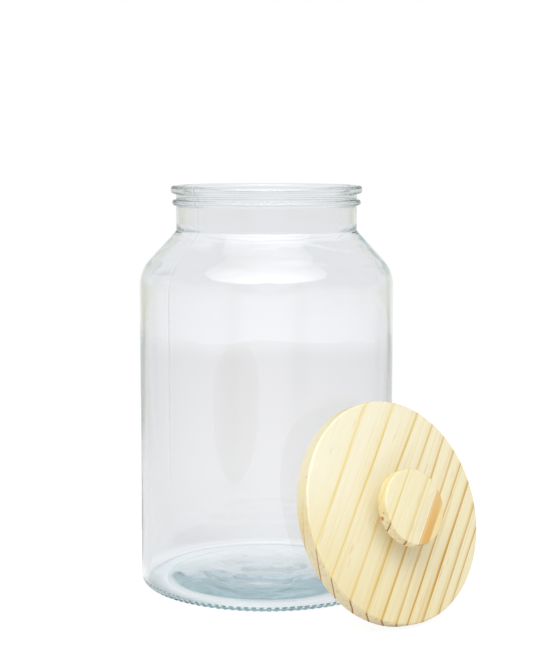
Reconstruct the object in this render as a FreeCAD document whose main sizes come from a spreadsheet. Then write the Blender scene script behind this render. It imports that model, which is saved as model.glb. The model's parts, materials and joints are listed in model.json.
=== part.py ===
import FreeCAD, Part
import Sketcher
import math
import os
import re

# Wide-mouth glass storage jar with a turned pine lid. The lid is off: it stands on its
# lower back edge and leans its plug against the jar wall, on the -Y side.
# Frame: origin on the jar axis at the floor, +Z up. Lengths in millimetres, angles in degrees.

SIZES = {
    # Jar, outside, from the floor up
    "jar_radius": 75.0,
    "heel_round": 4.5,
    "body_height": 186.6,
    "shoulder_rise": 23.2,
    "shoulder_round": 23.4,
    "neck_radius": 53.2,
    "neck_height": 14.4,
    "neck_root_round": 3.5,
    "ring_height": 3.8,
    "ring_stand": 2.3,
    "ring_round": 1.7,
    "ring_gap": 3.0,
    "rim_height": 5.0,
    "rim_stand": 3.1,
    "rim_round": 1.9,
    # Jar, inside and underside
    "wall": 3.6,
    "shoulder_wall": 4.2,
    "neck_wall": 4.2,
    "heel_thickness": 3.0,
    "base_thickness": 8.0,
    "bearing_width": 10.5,
    "push_up": 2.0,
    "push_slope": 32.0,
    "dome_round": 60.0,
    "floor_ring": 5.0,
    "floor_hollow": 20.0,
    "inner_heel_round": 1.2,
    "inner_neck_round": 5.0,
    # Lid disc and the plug that enters the mouth
    "lid_radius": 61.5,
    "lid_thickness": 9.5,
    "lid_front_round": 1.4,
    "lid_back_round": 0.9,
    "plug_depth": 12.0,
    "plug_clearance": 1.8,
    "plug_round": 1.0,
    # Two-lipped seal in its groove round the plug
    "groove_depth": 3.0,
    "groove_height": 5.0,
    "groove_rise": 4.0,
    "seal_clearance": 0.1,
    "seal_squeeze": 0.4,
    "seal_lip": 1.4,
    "seal_web": 1.6,
    # Knob: a stem and a head glued up from two staves
    "stem_radius": 9.0,
    "stem_height": 9.2,
    "knob_radius": 20.8,
    "knob_thickness": 6.8,
    "knob_round": 0.8,
    "glue_offset": 9.4,
    "grain_angle": 40.0,
    # Countersunk screw from the plug's underside into the knob's head
    "screw_radius": 2.0,
    "screw_head_radius": 4.0,
    "screw_head_height": 2.4,
    "screw_tip": 2.5,
    "screw_bite": 5.0,
    "screw_clearance": 0.15,
    "recess_span": 4.2,
    "recess_width": 1.1,
    "recess_depth": 1.4,
    # How the lid leans
    "lean": 19.2,
    "lean_gap": 0.3,
}

FULL_TURN = 360.0
SAME_PLACE = 1e-4
CROSS_ARMS = 4

# A bead's rounding takes at most these shares of the bead's height and of how far it stands out
HEIGHT_SHARE = 0.45
STAND_SHARE = 0.9

# Middle of the regular polygon that each outline starts as, clear of both axes
START_MIDDLE = 2.0

# Heights and radii of the jar that follow from the sizes
SHOULDER_TOP = "(body_height + shoulder_rise)"
RING_FOOT = f"({SHOULDER_TOP} + neck_height)"
RING_TOP = f"({RING_FOOT} + ring_height)"
RIM_FOOT = f"({RING_TOP} + ring_gap)"
JAR_TOP = f"({RIM_FOOT} + rim_height)"
MOUTH_RADIUS = "(neck_radius - neck_wall)"
BORE_RADIUS = "(jar_radius - wall)"
BEARING_INSIDE = "(jar_radius - heel_round - bearing_width)"
PUSH_FLAT = f"({BEARING_INSIDE} - push_slope)"
DOME_FOOT = f"({BORE_RADIUS} - floor_ring)"

# The inner shoulder cone lies shoulder_wall inside the outer one, measured square to it
CONE_RUN = "(jar_radius - neck_radius)"
CONE_LENGTH = f"sqrt({CONE_RUN} ^ 2 + shoulder_rise ^ 2)"
CONE_DROP = f"(shoulder_wall * {CONE_LENGTH} / {CONE_RUN})"
INNER_SHOULDER = f"(body_height - {CONE_DROP} + wall * shoulder_rise / {CONE_RUN})"
INNER_NECK = f"(body_height - {CONE_DROP} + (jar_radius - {MOUTH_RADIUS}) * shoulder_rise / {CONE_RUN})"

# Plug, seal and screw sizes that follow from what they fit
PLUG_RADIUS = f"({MOUTH_RADIUS} - plug_clearance)"
GROOVE_RADIUS = f"({PLUG_RADIUS} - groove_depth)"
SEAL_RADIUS = f"({MOUTH_RADIUS} + seal_squeeze)"
SCREW_HOLE = "(screw_radius + screw_clearance)"
HEAD_SLOPE = "(screw_head_height / (screw_head_radius - screw_radius))"
COUNTERSINK = f"((screw_head_radius - {SCREW_HOLE}) * {HEAD_SLOPE})"
SCREW_STACK = "(plug_depth + lid_thickness + stem_height)"

# Where the leaning lid's underside centre lies: out from the jar axis, and up from the floor
LEAN_REACH = (
    f"(jar_radius + lean_gap + plug_round + ({PLUG_RADIUS} - plug_round) * sin(lean)"
    " + (plug_depth - plug_round) * cos(lean))"
)
LEAN_RISE = "((lid_radius - lid_back_round) * cos(lean) + lid_back_round * (1 - sin(lean)))"


def bound(formula):
    """The formula with the name of each size turned into its cell of the sheet."""
    return re.sub(r"[a-z_]+", lambda word: cell(word.group()), formula)


def cell(word):
    """The sheet's cell for the name of a size; any other word stays as it is."""
    return f"Sizes.{word}" if word in SIZES else word


def make_sheet(doc):
    """The driving dimensions, one row each: name, value."""
    sheet = doc.addObject("Spreadsheet::Sheet", "Sizes")
    for row, (name, value) in enumerate(SIZES.items(), start=1):
        sheet.set(f"A{row}", name)
        sheet.set(f"B{row}", str(value))
        sheet.setAlias(f"B{row}", name)
    doc.recompute()


def new_sketch(body, name, plane):
    """A sketch on one of the body's own origin planes."""
    sketch = body.newObject("Sketcher::SketchObject", name)
    support = next(item for item in body.Origin.OriginFeatures if item.Role == plane)
    sketch.AttachmentSupport = [(support, "")]
    sketch.MapMode = "FlatFace"
    return sketch


def hold(sketch, kind, references, formula, start):
    """One dimension of a sketch, bound to the sheet."""
    index = sketch.addConstraint(Sketcher.Constraint(kind, *references, start))
    sketch.setExpression(f"Constraints[{index}]", bound(formula))


def outline_sketch(body, corners):
    """The closed outline of a turned piece: corners are (radius, height) formulas."""
    sketch = new_sketch(body, f"{body.Label}_outline", "XZ_Plane")
    count = len(corners)
    starts = []
    for index in range(count):
        turn = 2.0 * math.pi * index / count
        starts.append(FreeCAD.Vector(START_MIDDLE + math.cos(turn), START_MIDDLE + math.sin(turn), 0.0))
    for index in range(count):
        sketch.addGeometry(Part.LineSegment(starts[index], starts[(index + 1) % count]))
    for index in range(count):
        following = (index + 1) % count
        sketch.addConstraint(Sketcher.Constraint("Coincident", index, 2, following, 1))
    for index, corner in enumerate(corners):
        radius, height = corner[:2]
        if radius == "0":
            sketch.addConstraint(Sketcher.Constraint("PointOnObject", index, 1, -2))
        else:
            hold(sketch, "DistanceX", (-1, 1, index, 1), radius, starts[index].x)
        if height == "0":
            sketch.addConstraint(Sketcher.Constraint("PointOnObject", index, 1, -1))
        else:
            hold(sketch, "DistanceY", (-1, 1, index, 1), height, starts[index].y)
    return sketch


def circle_edges(shape, radius, height):
    """Names of the shape's round edges of that radius at that height."""
    names = []
    for number, edge in enumerate(shape.Edges, start=1):
        curve = edge.Curve
        if isinstance(curve, Part.Circle):
            same_radius = abs(curve.Radius - radius) < SAME_PLACE
            if same_radius and abs(curve.Center.z - height) < SAME_PLACE:
                names.append(f"Edge{number}")
    return names


def round_edges(body, radius, height, formula):
    """Fillet the body's round edges of that radius at that height."""
    base = body.Tip
    names = circle_edges(base.Shape, radius, height)
    if not names:
        raise ValueError(f"{body.Label}: no round edge at radius {radius}, height {height}")
    fillet = body.newObject("PartDesign::Fillet", f"{body.Label}_round")
    fillet.Base = (base, names)
    fillet.setExpression("Radius", bound(formula))
    body.Document.recompute()


def turned(doc, label, corners):
    """A body turned about its own Z axis; a corner's third formula rounds its edge."""
    body = doc.addObject("PartDesign::Body", label)
    sketch = outline_sketch(body, corners)
    solid = body.newObject("PartDesign::Revolution", f"{label}_turned")
    solid.Profile = sketch
    solid.ReferenceAxis = (sketch, ["V_Axis"])
    solid.Angle = FULL_TURN
    doc.recompute()
    points = [line.StartPoint for line in sketch.Geometry]
    for corner, point in zip(corners, points):
        if len(corner) == 3:
            round_edges(body, point.x, point.y, corner[2])
    return body


def cut_into(body, sketch, formula):
    """Cut the sketch's outline upwards out of the body, and check that it cut something."""
    before = body.Tip.Shape.Volume
    pocket = body.newObject("PartDesign::Pocket", f"{sketch.Name}_cut")
    pocket.Profile = sketch
    pocket.Reversed = True
    pocket.setExpression("Length", bound(formula))
    body.Document.recompute()
    if body.Tip.Shape.Volume >= before:
        raise ValueError(f"{body.Label}: {sketch.Name} cut nothing")
    return pocket


def lean_on_jar(piece, along_axis):
    """Seat a piece on the leaning lid's axis, at that height above the disc's underside."""
    tilt = FreeCAD.Rotation(FreeCAD.Vector(1.0, 0.0, 0.0), SIZES["lean"])
    piece.Placement = FreeCAD.Placement(FreeCAD.Vector(), tilt)
    piece.setExpression("Placement.Base.y", bound(f"-({LEAN_REACH} + ({along_axis}) * cos(lean))"))
    piece.setExpression("Placement.Base.z", bound(f"{LEAN_RISE} + ({along_axis}) * sin(lean)"))
    piece.setExpression("Placement.Rotation.Angle", bound("90 - lean"))


def glass_jar(doc):
    """One blown piece: base domed inside, straight body, coned shoulder, bead ring and rim."""
    ring_radius = "neck_radius + ring_stand"
    rim_radius = "neck_radius + rim_stand"
    ring_round = f"min(ring_round; ring_height * {HEIGHT_SHARE}; ring_stand * {STAND_SHARE})"
    rim_round = f"min(rim_round; rim_height * {HEIGHT_SHARE}; rim_stand * {STAND_SHARE})"
    inner_floor = "push_up + base_thickness"
    return turned(doc, "glass_jar", [
        ("0", "push_up"),
        (PUSH_FLAT, "push_up"),
        (BEARING_INSIDE, "0"),
        ("jar_radius", "0", "heel_round"),
        ("jar_radius", "body_height", "shoulder_round"),
        ("neck_radius", SHOULDER_TOP, "neck_root_round"),
        ("neck_radius", RING_FOOT),
        (ring_radius, RING_FOOT, ring_round),
        (ring_radius, RING_TOP, ring_round),
        ("neck_radius", RING_TOP),
        ("neck_radius", RIM_FOOT),
        (rim_radius, RIM_FOOT, rim_round),
        (rim_radius, JAR_TOP, rim_round),
        (MOUTH_RADIUS, JAR_TOP, rim_round),
        (MOUTH_RADIUS, INNER_NECK, "inner_neck_round"),
        (BORE_RADIUS, INNER_SHOULDER, "shoulder_round - shoulder_wall"),
        (BORE_RADIUS, "heel_thickness", "inner_heel_round"),
        (DOME_FOOT, "heel_thickness", "floor_hollow"),
        (PUSH_FLAT, inner_floor, "dome_round"),
        ("0", inner_floor),
    ])


def lid_disc(doc):
    """Round pine board that covers the rim, with the screw's hole through its middle."""
    disc = turned(doc, "lid_disc", [
        (SCREW_HOLE, "0"),
        ("lid_radius", "0", "lid_back_round"),
        ("lid_radius", "lid_thickness", "lid_front_round"),
        (SCREW_HOLE, "lid_thickness"),
    ])
    lean_on_jar(disc, "0")


def lid_plug(doc):
    """Smaller pine disc under the lid, grooved for the seal and countersunk for the screw."""
    groove_top = "groove_rise + groove_height"
    plug = turned(doc, "lid_plug", [
        ("screw_head_radius", "0"),
        (PLUG_RADIUS, "0", "plug_round"),
        (PLUG_RADIUS, "groove_rise"),
        (GROOVE_RADIUS, "groove_rise"),
        (GROOVE_RADIUS, groove_top),
        (PLUG_RADIUS, groove_top),
        (PLUG_RADIUS, "plug_depth"),
        (SCREW_HOLE, "plug_depth"),
        (SCREW_HOLE, COUNTERSINK),
    ])
    lean_on_jar(plug, "-plug_depth")


def seal_ring(doc):
    """Silicone ring in the plug's groove: two lips on a band, a little wider than the mouth."""
    inside = f"{GROOVE_RADIUS} + seal_clearance"
    band = f"{inside} + seal_web"
    upper_lip = "groove_height - seal_lip"
    ring = turned(doc, "seal_ring", [
        (inside, "0"),
        (SEAL_RADIUS, "0"),
        (SEAL_RADIUS, "seal_lip"),
        (band, "seal_lip"),
        (band, upper_lip),
        (SEAL_RADIUS, upper_lip),
        (SEAL_RADIUS, "groove_height"),
        (inside, "groove_height"),
    ])
    lean_on_jar(ring, "groove_rise - plug_depth")


def knob_stem(doc):
    """Short round spacer that holds the knob's head clear of the lid, for the fingers."""
    stem = turned(doc, "knob_stem", [
        (SCREW_HOLE, "0"),
        ("stem_radius", "0"),
        ("stem_radius", "stem_height"),
        (SCREW_HOLE, "stem_height"),
    ])
    lean_on_jar(stem, "lid_thickness")


def knob_stave(doc, label, first_angle, last_angle):
    """One side of the knob's round head, cut off along the glue line."""
    body = doc.addObject("PartDesign::Body", label)
    sketch = new_sketch(body, f"{label}_outline", "XY_Plane")
    against_grain = FreeCAD.Rotation(FreeCAD.Vector(0.0, 0.0, -1.0), SIZES["grain_angle"])
    sketch.AttachmentOffset = FreeCAD.Placement(FreeCAD.Vector(), against_grain)
    sketch.setExpression("AttachmentOffset.Rotation.Angle", bound("grain_angle"))
    round_side = Part.Circle(FreeCAD.Vector(), FreeCAD.Vector(0.0, 0.0, 1.0), SIZES["knob_radius"])
    sketch.addGeometry(Part.ArcOfCircle(round_side, first_angle, last_angle))
    arc = sketch.Geometry[0]
    sketch.addGeometry(Part.LineSegment(arc.EndPoint, arc.StartPoint))
    sketch.addConstraint(Sketcher.Constraint("Coincident", 0, 3, -1, 1))
    sketch.addConstraint(Sketcher.Constraint("Coincident", 0, 2, 1, 1))
    sketch.addConstraint(Sketcher.Constraint("Coincident", 1, 2, 0, 1))
    sketch.addConstraint(Sketcher.Constraint("Vertical", 1))
    hold(sketch, "DistanceX", (-1, 1, 1, 1), "glue_offset", SIZES["glue_offset"])
    hold(sketch, "Radius", (0,), "knob_radius", SIZES["knob_radius"])
    head = body.newObject("PartDesign::Pad", f"{label}_board")
    head.Profile = sketch
    head.setExpression("Length", bound("knob_thickness"))
    doc.recompute()
    for height in (0.0, SIZES["knob_thickness"]):
        round_edges(body, SIZES["knob_radius"], height, "knob_round")
    return body


def knob_head(doc):
    """Head of the knob: a wide and a narrow stave, with a blind hole for the screw's end."""
    half_turn = math.acos(SIZES["glue_offset"] / SIZES["knob_radius"])
    wide = knob_stave(doc, "knob_wide_stave", half_turn, 2.0 * math.pi - half_turn)
    narrow = knob_stave(doc, "knob_narrow_stave", -half_turn, half_turn)
    hole = new_sketch(wide, "pilot_hole", "XY_Plane")
    start = SIZES["screw_radius"]
    ring = Part.Circle(FreeCAD.Vector(), FreeCAD.Vector(0.0, 0.0, 1.0), start)
    hole.addGeometry(ring)
    hole.addConstraint(Sketcher.Constraint("Coincident", 0, 3, -1, 1))
    hold(hole, "Radius", (0,), SCREW_HOLE, start)
    cut_into(wide, hole, "screw_bite + screw_clearance")
    for stave in (wide, narrow):
        lean_on_jar(stave, "lid_thickness + stem_height")


def knob_screw(doc):
    """Countersunk wood screw with a cross recess, flush with the plug's underside."""
    length = f"{SCREW_STACK} + screw_bite"
    screw = turned(doc, "knob_screw", [
        ("0", "0"),
        ("screw_head_radius", "0"),
        ("screw_radius", "screw_head_height"),
        ("screw_radius", f"{length} - screw_tip"),
        ("0", length),
    ])
    sketch = new_sketch(screw, "cross_recess", "XY_Plane")
    half_span = SIZES["recess_span"] / 2.0
    half_width = SIZES["recess_width"] / 2.0
    sides = [(-half_span, -half_width), (half_span, -half_width),
             (half_span, half_width), (-half_span, half_width)]
    corners = [FreeCAD.Vector(x, y, 0.0) for x, y in sides]
    for index, corner in enumerate(corners):
        sketch.addGeometry(Part.LineSegment(corner, corners[(index + 1) % len(corners)]))
    for index in range(len(corners)):
        following = (index + 1) % len(corners)
        direction = "Vertical" if index % 2 else "Horizontal"
        sketch.addConstraint(Sketcher.Constraint("Coincident", index, 2, following, 1))
        sketch.addConstraint(Sketcher.Constraint(direction, index))
    sketch.addConstraint(Sketcher.Constraint("Symmetric", 0, 1, 2, 1, -1, 1))
    hold(sketch, "DistanceX", (0, 1, 0, 2), "recess_span", SIZES["recess_span"])
    hold(sketch, "DistanceY", (1, 1, 1, 2), "recess_width", SIZES["recess_width"])
    slot = cut_into(screw, sketch, "recess_depth")
    cross = screw.newObject("PartDesign::PolarPattern", "cross_recess_arms")
    cross.Originals = [slot]
    cross.Axis = (sketch, ["N_Axis"])
    cross.Angle = FULL_TURN
    cross.Occurrences = CROSS_ARMS
    screw.Tip = cross
    doc.recompute()
    lean_on_jar(screw, "-plug_depth")


def write_parts(doc):
    """Check every object of the document, then write each sub-part's solid."""
    doc.recompute()
    for item in doc.Objects:
        if "Invalid" in item.State or "Error" in item.State:
            raise ValueError(f"{item.Label} failed: {item.State}")
    bodies = [item for item in doc.Objects if item.TypeId == "PartDesign::Body"]
    for body in bodies:
        if body.Shape.isNull() or not body.Shape.isValid() or len(body.Shape.Solids) != 1:
            raise ValueError(f"{body.Label} is not one valid solid")
    os.makedirs("parts", exist_ok=True)
    for body in bodies:
        body.Shape.exportStep(f"parts/{body.Label}.step")
        print(f"{body.Label}: {body.Shape.Volume / 1000.0:.2f} cm3")


def main():
    doc = FreeCAD.newDocument("StorageJar")
    make_sheet(doc)
    glass_jar(doc)
    lid_disc(doc)
    lid_plug(doc)
    seal_ring(doc)
    knob_stem(doc)
    knob_head(doc)
    knob_screw(doc)
    write_parts(doc)


main()
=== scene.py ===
"""Looks of a wide-mouth glass storage jar and its pine lid, made around their construction.

Lengths are metres in the construction's frame: the jar stands on the floor at the origin with +Z
up, and the lid leans against it on the -Y side.
"""

import functools
import json
import math

import bmesh
import bpy
from mathutils import Matrix, Vector, noise


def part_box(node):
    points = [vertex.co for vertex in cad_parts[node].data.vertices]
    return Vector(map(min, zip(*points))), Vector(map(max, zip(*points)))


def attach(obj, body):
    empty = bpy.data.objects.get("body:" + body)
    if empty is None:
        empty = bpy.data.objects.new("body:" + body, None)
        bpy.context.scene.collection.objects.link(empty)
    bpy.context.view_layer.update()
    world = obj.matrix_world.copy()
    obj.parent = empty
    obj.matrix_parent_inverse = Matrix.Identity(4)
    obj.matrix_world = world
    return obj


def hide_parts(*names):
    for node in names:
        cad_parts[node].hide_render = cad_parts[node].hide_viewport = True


bl_info = {
    "name": "Storage jar with pine lid",
    "version": (1, 0, 0),
    "blender": (4, 5, 0),
    "location": "View3D > Sidebar > Storage Jar",
    "description": "Builds the glass jar, the pieces of its pine lid and a plain stage",
    "category": "Add Mesh",
}

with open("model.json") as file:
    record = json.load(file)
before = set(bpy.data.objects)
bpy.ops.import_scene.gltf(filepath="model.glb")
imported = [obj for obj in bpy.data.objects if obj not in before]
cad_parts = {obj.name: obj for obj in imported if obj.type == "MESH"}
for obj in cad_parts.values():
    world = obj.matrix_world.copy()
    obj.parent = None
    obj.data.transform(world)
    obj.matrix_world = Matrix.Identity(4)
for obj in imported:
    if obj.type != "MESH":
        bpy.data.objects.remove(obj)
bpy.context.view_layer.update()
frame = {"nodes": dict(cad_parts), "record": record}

MM = 0.001
TINY = 1e-6
WHITE = (1.0, 1.0, 1.0, 1.0)
BLACK = (0.0, 0.0, 0.0, 1.0)
JAR_TOP_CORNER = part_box("glass_jar")[1]
MOUTH = next(mount for mount in frame["record"]["mounts"] if mount["name"] == "mouth")
# Longest steps of a rounded corner, as an angle and as a length
ARC_STEP = math.radians(9.0)
ARC_RUN = 2.0 * MM
SHARP_EDGE = math.radians(40.0)
LID_COLUMNS = 240
STEM_COLUMNS = 96
KNOB_COLUMNS = 144
# Places of the extra columns beside a mould line, as parts of a column's width
BESIDE_SEAM = (0.09, 0.18, 0.3)
# The stipples are deepest just left of the lid, where this angle added to theirs is 270 degrees
STIPPLE_TURN = math.radians(30.0)
# Light crosses many surfaces before it leaves the jar
LIGHT_BOUNCES = 40


def linear(code):
    """A colour written as an sRGB hex value, as linear red, green, blue and alpha."""
    shares = [int(code[start:start + 2], 16) / 255.0 for start in (0, 2, 4)]
    low = [share / 12.92 for share in shares]
    high = [((share + 0.055) / 1.055) ** 2.4 for share in shares]
    return (*[b if share > 0.04045 else a for share, a, b in zip(shares, low, high)], 1.0)


def length(name, about, default):
    """A length that a user may change, in metres."""
    return bpy.props.FloatProperty(
        name=name, description=about, default=default, subtype="DISTANCE", unit="LENGTH", precision=5)


def angle(name, about, degrees):
    """An angle that a user may change, given in degrees."""
    return bpy.props.FloatProperty(
        name=name, description=about, default=math.radians(degrees), subtype="ANGLE", unit="ROTATION")


def tone(name, about, code):
    """A colour that a user may change, given as an sRGB hex value."""
    return bpy.props.FloatVectorProperty(
        name=name, description=about, default=linear(code), size=4, subtype="COLOR", min=0.0, max=1.0)


def count(name, about, default):
    """A whole number that a user may change."""
    return bpy.props.IntProperty(name=name, description=about, default=default, min=1)


def share(name, about, default):
    """A plain number that a user may change."""
    return bpy.props.FloatProperty(name=name, description=about, default=default)


class JarSizes(bpy.types.PropertyGroup):
    """Sizes of the glass jar, from the floor up, then inside."""

    radius: length("Radius", "Outside radius of the straight body", JAR_TOP_CORNER.x)
    height: length("Height", "From the floor to the top of the rim", JAR_TOP_CORNER.z)
    heel_round: length("Heel round", "Rounding where the wall meets the base", 4.5 * MM)
    body_height: length("Body height", "Where wall and shoulder would meet in a corner", 186.6 * MM)
    shoulder_rise: length("Shoulder rise", "Height of the coned shoulder", 23.2 * MM)
    shoulder_round: length("Shoulder round", "Rounding between wall and shoulder", 23.4 * MM)
    neck_radius: length("Neck radius", "Outside radius of the neck", 53.2 * MM)
    neck_height: length("Neck height", "From the shoulder to the bead ring", 14.4 * MM)
    neck_root_round: length("Neck root round", "Hollow where shoulder and neck meet", 2.0 * MM)
    ring_height: length("Ring height", "Height of the bead ring", 3.8 * MM)
    ring_stand: length("Ring stand", "How far the bead ring stands out of the neck", 2.3 * MM)
    ring_round: length("Ring round", "Rounding of the bead ring's edges", 1.7 * MM)
    ring_gap: length("Ring gap", "Between the bead ring and the rim", 3.0 * MM)
    rim_stand: length("Rim stand", "How far the rim stands out of the neck", 3.1 * MM)
    rim_round: length("Rim round", "Rounding of the rim's edges", 1.9 * MM)
    inner_corner: length("Inner corner", "Hollow where ring and rim leave the neck", 0.5 * MM)
    mouth_radius: length("Mouth radius", "Inside radius of the neck", MOUTH["dims"]["r_mm"] * MM)
    wall: length("Wall", "Thickness of the straight wall", 3.6 * MM)
    shoulder_wall: length("Shoulder wall", "Thickness of the shoulder", 4.2 * MM)
    heel_thickness: length("Heel thickness", "Height of the inner floor's lowest ring", 3.0 * MM)
    base_thickness: length("Base thickness", "Thickness of the base at its middle", 8.0 * MM)
    bearing_width: length("Bearing width", "Width of the flat ring that the jar stands on", 10.5 * MM)
    push_up: length("Push-up", "How far the base's middle lies above the floor", 2.0 * MM)
    push_slope: length("Push-up slope", "Width of the slope up to the base's middle", 32.0 * MM)
    push_round: length("Push-up round", "Rounding of the domed middle", 220.0 * MM)
    floor_ring: length("Floor ring", "Width of the flat ring inside, round the dome", 14.0 * MM)
    floor_hollow: length("Floor hollow", "Hollow round the foot of the dome inside", 20.0 * MM)
    inner_heel_round: length("Inner heel round", "Hollow where wall and inner floor meet", 1.2 * MM)
    inner_neck_round: length("Inner neck round", "Rounding inside the neck's root", 16.0 * MM)
    stipples: count("Stipples", "Cuts of the knurled chain round the heel", 108)
    stipple_depth: length("Stipple depth", "Depth of those cuts", 0.7 * MM)
    stipple_top: length("Stipple top", "How far up the heel those cuts reach", 3.2 * MM)
    back_seam: share("Back mould line", "Height of the far mould line, as a part of the near one", 0.3)
    seam_height: length("Seam height", "Height of the line that the mould's halves leave", 0.15 * MM)
    seam_width: length("Seam width", "Half the width of that line", 0.25 * MM)
    seam_turn: angle("Seam turn", "Where the first mould line lies round the jar's axis", 183.5)
    ripple: length("Ripple", "Depth of the waves inside, where no mould touched the glass", 0.2 * MM)
    ripple_span: length("Ripple span", "Length of those waves", 42.0 * MM)
    swirl: length("Swirl", "Depth of the waves in the inner floor", 0.27 * MM)
    swirl_span: length("Swirl span", "Length of the inner floor's waves", 24.0 * MM)
    streak: length("Streak", "Depth of the streaks that run round the inner floor", 0.9 * MM)
    streak_pitch: length("Streak pitch", "Width of those streaks", 12.0 * MM)
    streak_turns: share("Streak turns", "How quickly those streaks change on their way round", 1.3)
    sag: length("Sag", "Depth of the waves outside, where the glass shrank from its mould", 0.1 * MM)
    draw: length("Draw", "Depth of the fine level waves on the shoulder", 0.16 * MM)
    draw_span: length("Draw span", "Length of those waves round the jar", 13.0 * MM)
    draw_pitch: length("Draw pitch", "Height of those waves", 4.0 * MM)
    longest_step: length("Longest step", "Longest straight step of the outline", 11.0 * MM)
    shoulder_step: length("Shoulder step", "The same on the outer shoulder", 2.0 * MM)
    base_step: length("Base step", "The same in the base", 2.4 * MM)


class LidSizes(bpy.types.PropertyGroup):
    """Sizes of the lid's pieces. Heights are along the lid's axis, from the disc's face."""

    disc_radius: length("Disc radius", "Radius of the lid's board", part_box("lid_disc")[1].x)
    disc_thickness: length("Disc thickness", "Thickness of the lid's board", 9.5 * MM)
    face_round: length("Face round", "Sanded rounding round the face", 1.4 * MM)
    back_round: length("Back round", "Sanded rounding round the underside", 0.9 * MM)
    plug_radius: length("Plug radius", "Radius of the plug under the board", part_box("lid_plug")[1].x)
    plug_depth: length("Plug depth", "How far the plug enters the mouth", 12.0 * MM)
    plug_round: length("Plug round", "Rounding of the plug's lower edge", 1.0 * MM)
    groove_depth: length("Groove depth", "Depth of the seal's groove", 3.0 * MM)
    groove_height: length("Groove height", "Height of the seal's groove", 5.0 * MM)
    groove_rise: length("Groove rise", "From the plug's underside to the groove", 4.0 * MM)
    seal_radius: length("Seal radius", "Radius over the seal's lips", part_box("seal_ring")[1].x)
    seal_clearance: length("Seal clearance", "Between the seal and the groove's floor", 0.1 * MM)
    seal_lip: length("Seal lip", "Thickness of each lip", 1.4 * MM)
    seal_web: length("Seal web", "Thickness of the band that joins the lips", 1.6 * MM)
    stem_radius: length("Stem radius", "Radius of the knob's stem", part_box("knob_stem")[1].x)
    stem_height: length("Stem height", "Height of the knob's stem", 9.2 * MM)
    knob_radius: length("Knob radius", "Radius of the knob's head", -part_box("knob_wide_stave")[0].x)
    knob_thickness: length("Knob thickness", "Thickness of the knob's head", 6.8 * MM)
    knob_round: length("Knob round", "Sanded rounding of the head's edges", 0.8 * MM)
    glue_offset: length("Glue offset", "From the knob's axis to the glue line", 9.4 * MM)
    glue_edge: length("Glue edge", "Broken edge of each stave along the glue line", 0.25 * MM)
    grain_angle: angle("Grain angle", "From straight up the lid to the run of the grain", 40.0)
    screw_hole: length("Screw hole", "Radius of the screw's hole", 2.15 * MM)
    screw_head: length("Screw head", "Radius of the countersunk head", 4.0 * MM)
    sink_depth: length("Sink depth", "Depth of the countersink", 2.22 * MM)
    screw_bite: length("Screw bite", "Depth of the screw's blind hole in the head", 5.15 * MM)


class Finishes(bpy.types.PropertyGroup):
    """Colours of the glass, the wood, the seal and the screw."""

    glass_tint: tone("Glass tint", "Colour of one pass through the jar's wall", "FEFDFE")
    glass_shade: tone("Glass shade", "Colour of the light behind each surface of the jar's wall", "F8F9FA")
    glass_base_shade: tone("Base shade", "Colour of the light behind each surface of its base", "DFEBED")
    glass_body: tone("Glass body", "Colour of the glass seen through its depth", "C6DDE1")
    glass_body_density: share("Glass depth", "How fast that colour builds up, per metre", 18.0)
    pine_pale: tone("Pine, pale", "Early wood near the pith", "F8F2D9")
    pine_straw: tone("Pine, straw", "Early wood far from the pith", "F6ECC6")
    pine_buff: tone("Pine, buff", "Early wood at the board's lower end", "F0E2B4")
    pine_honey: tone("Pine, honey", "Late wood near the pith", "F2DC72")
    pine_gold: tone("Pine, gold", "Late wood far from the pith", "D09A14")
    pine_cream: tone("Pine, cream", "Early wood of the knob's narrow stave", "F2DFA8")
    pine_amber: tone("Pine, amber", "Resinous late wood of the knob's narrow stave", "D6930C")
    pine_slant: tone("Pine, slant", "Early wood cut at a slant to its fibres", "E4C257")
    pine_end: tone("Pine, end", "Early wood cut across its fibres", "F1E3BC")
    pine_brown: tone("Pine, brown", "Late wood cut across its fibres", "A4662E")
    pine_resin: tone("Pine, resin", "Resin flecks and pockets", "C06A08")
    # A painted highlight: the pale line along the knob's glue joint, where the edge catches the light
    glue: tone("Glue", "Dried white glue in the knob's joint", "FBF6E8")
    silicone: tone("Silicone", "Translucent white silicone", "DFE2E0")
    zinc: tone("Zinc", "Bright zinc plating", "C9CBC8")


class StageSizes(bpy.types.PropertyGroup):
    """Camera, lamp and floor."""

    camera_distance: length("Camera distance", "From the jar's axis, along the floor", 0.930)
    camera_height: length("Camera height", "Above the floor", 0.2605)
    camera_turn: angle("Camera turn", "Round the jar's axis, from straight before the lid", -39.5)
    camera_tilt: angle("Camera tilt", "Downwards from level", 6.59)
    lens: share("Lens", "Focal length of the camera, in millimetres", 87.3)
    softbox_width: length("Softbox width", "Of the oval lamp overhead, across the view", 1.7)
    softbox_depth: length("Softbox depth", "Of the oval lamp overhead, along the view", 1.25)
    softbox_height: length("Softbox height", "Of the lamp above the floor", 0.9)
    softbox_forward: length("Softbox place", "From the jar's axis towards the camera", 0.60)
    softbox_level: share("Softbox level", "Brightness of the lamp's middle as a light, where 1 is white", 2.5)
    softbox_look: share("Softbox look", "Brightness of the lamp's middle in gloss, where 1 is white", 5.6)
    softbox_through: share("Softbox through", "The same through glass", 1.6)
    room_light: share("Room light", "Level of the even light from all round", 0.66)
    floor_behind: length("Floor behind", "From the jar's axis to the floor's far edge", 1.15)
    floor_size: length("Floor size", "Width and depth of the floor", 4.0)


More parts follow.
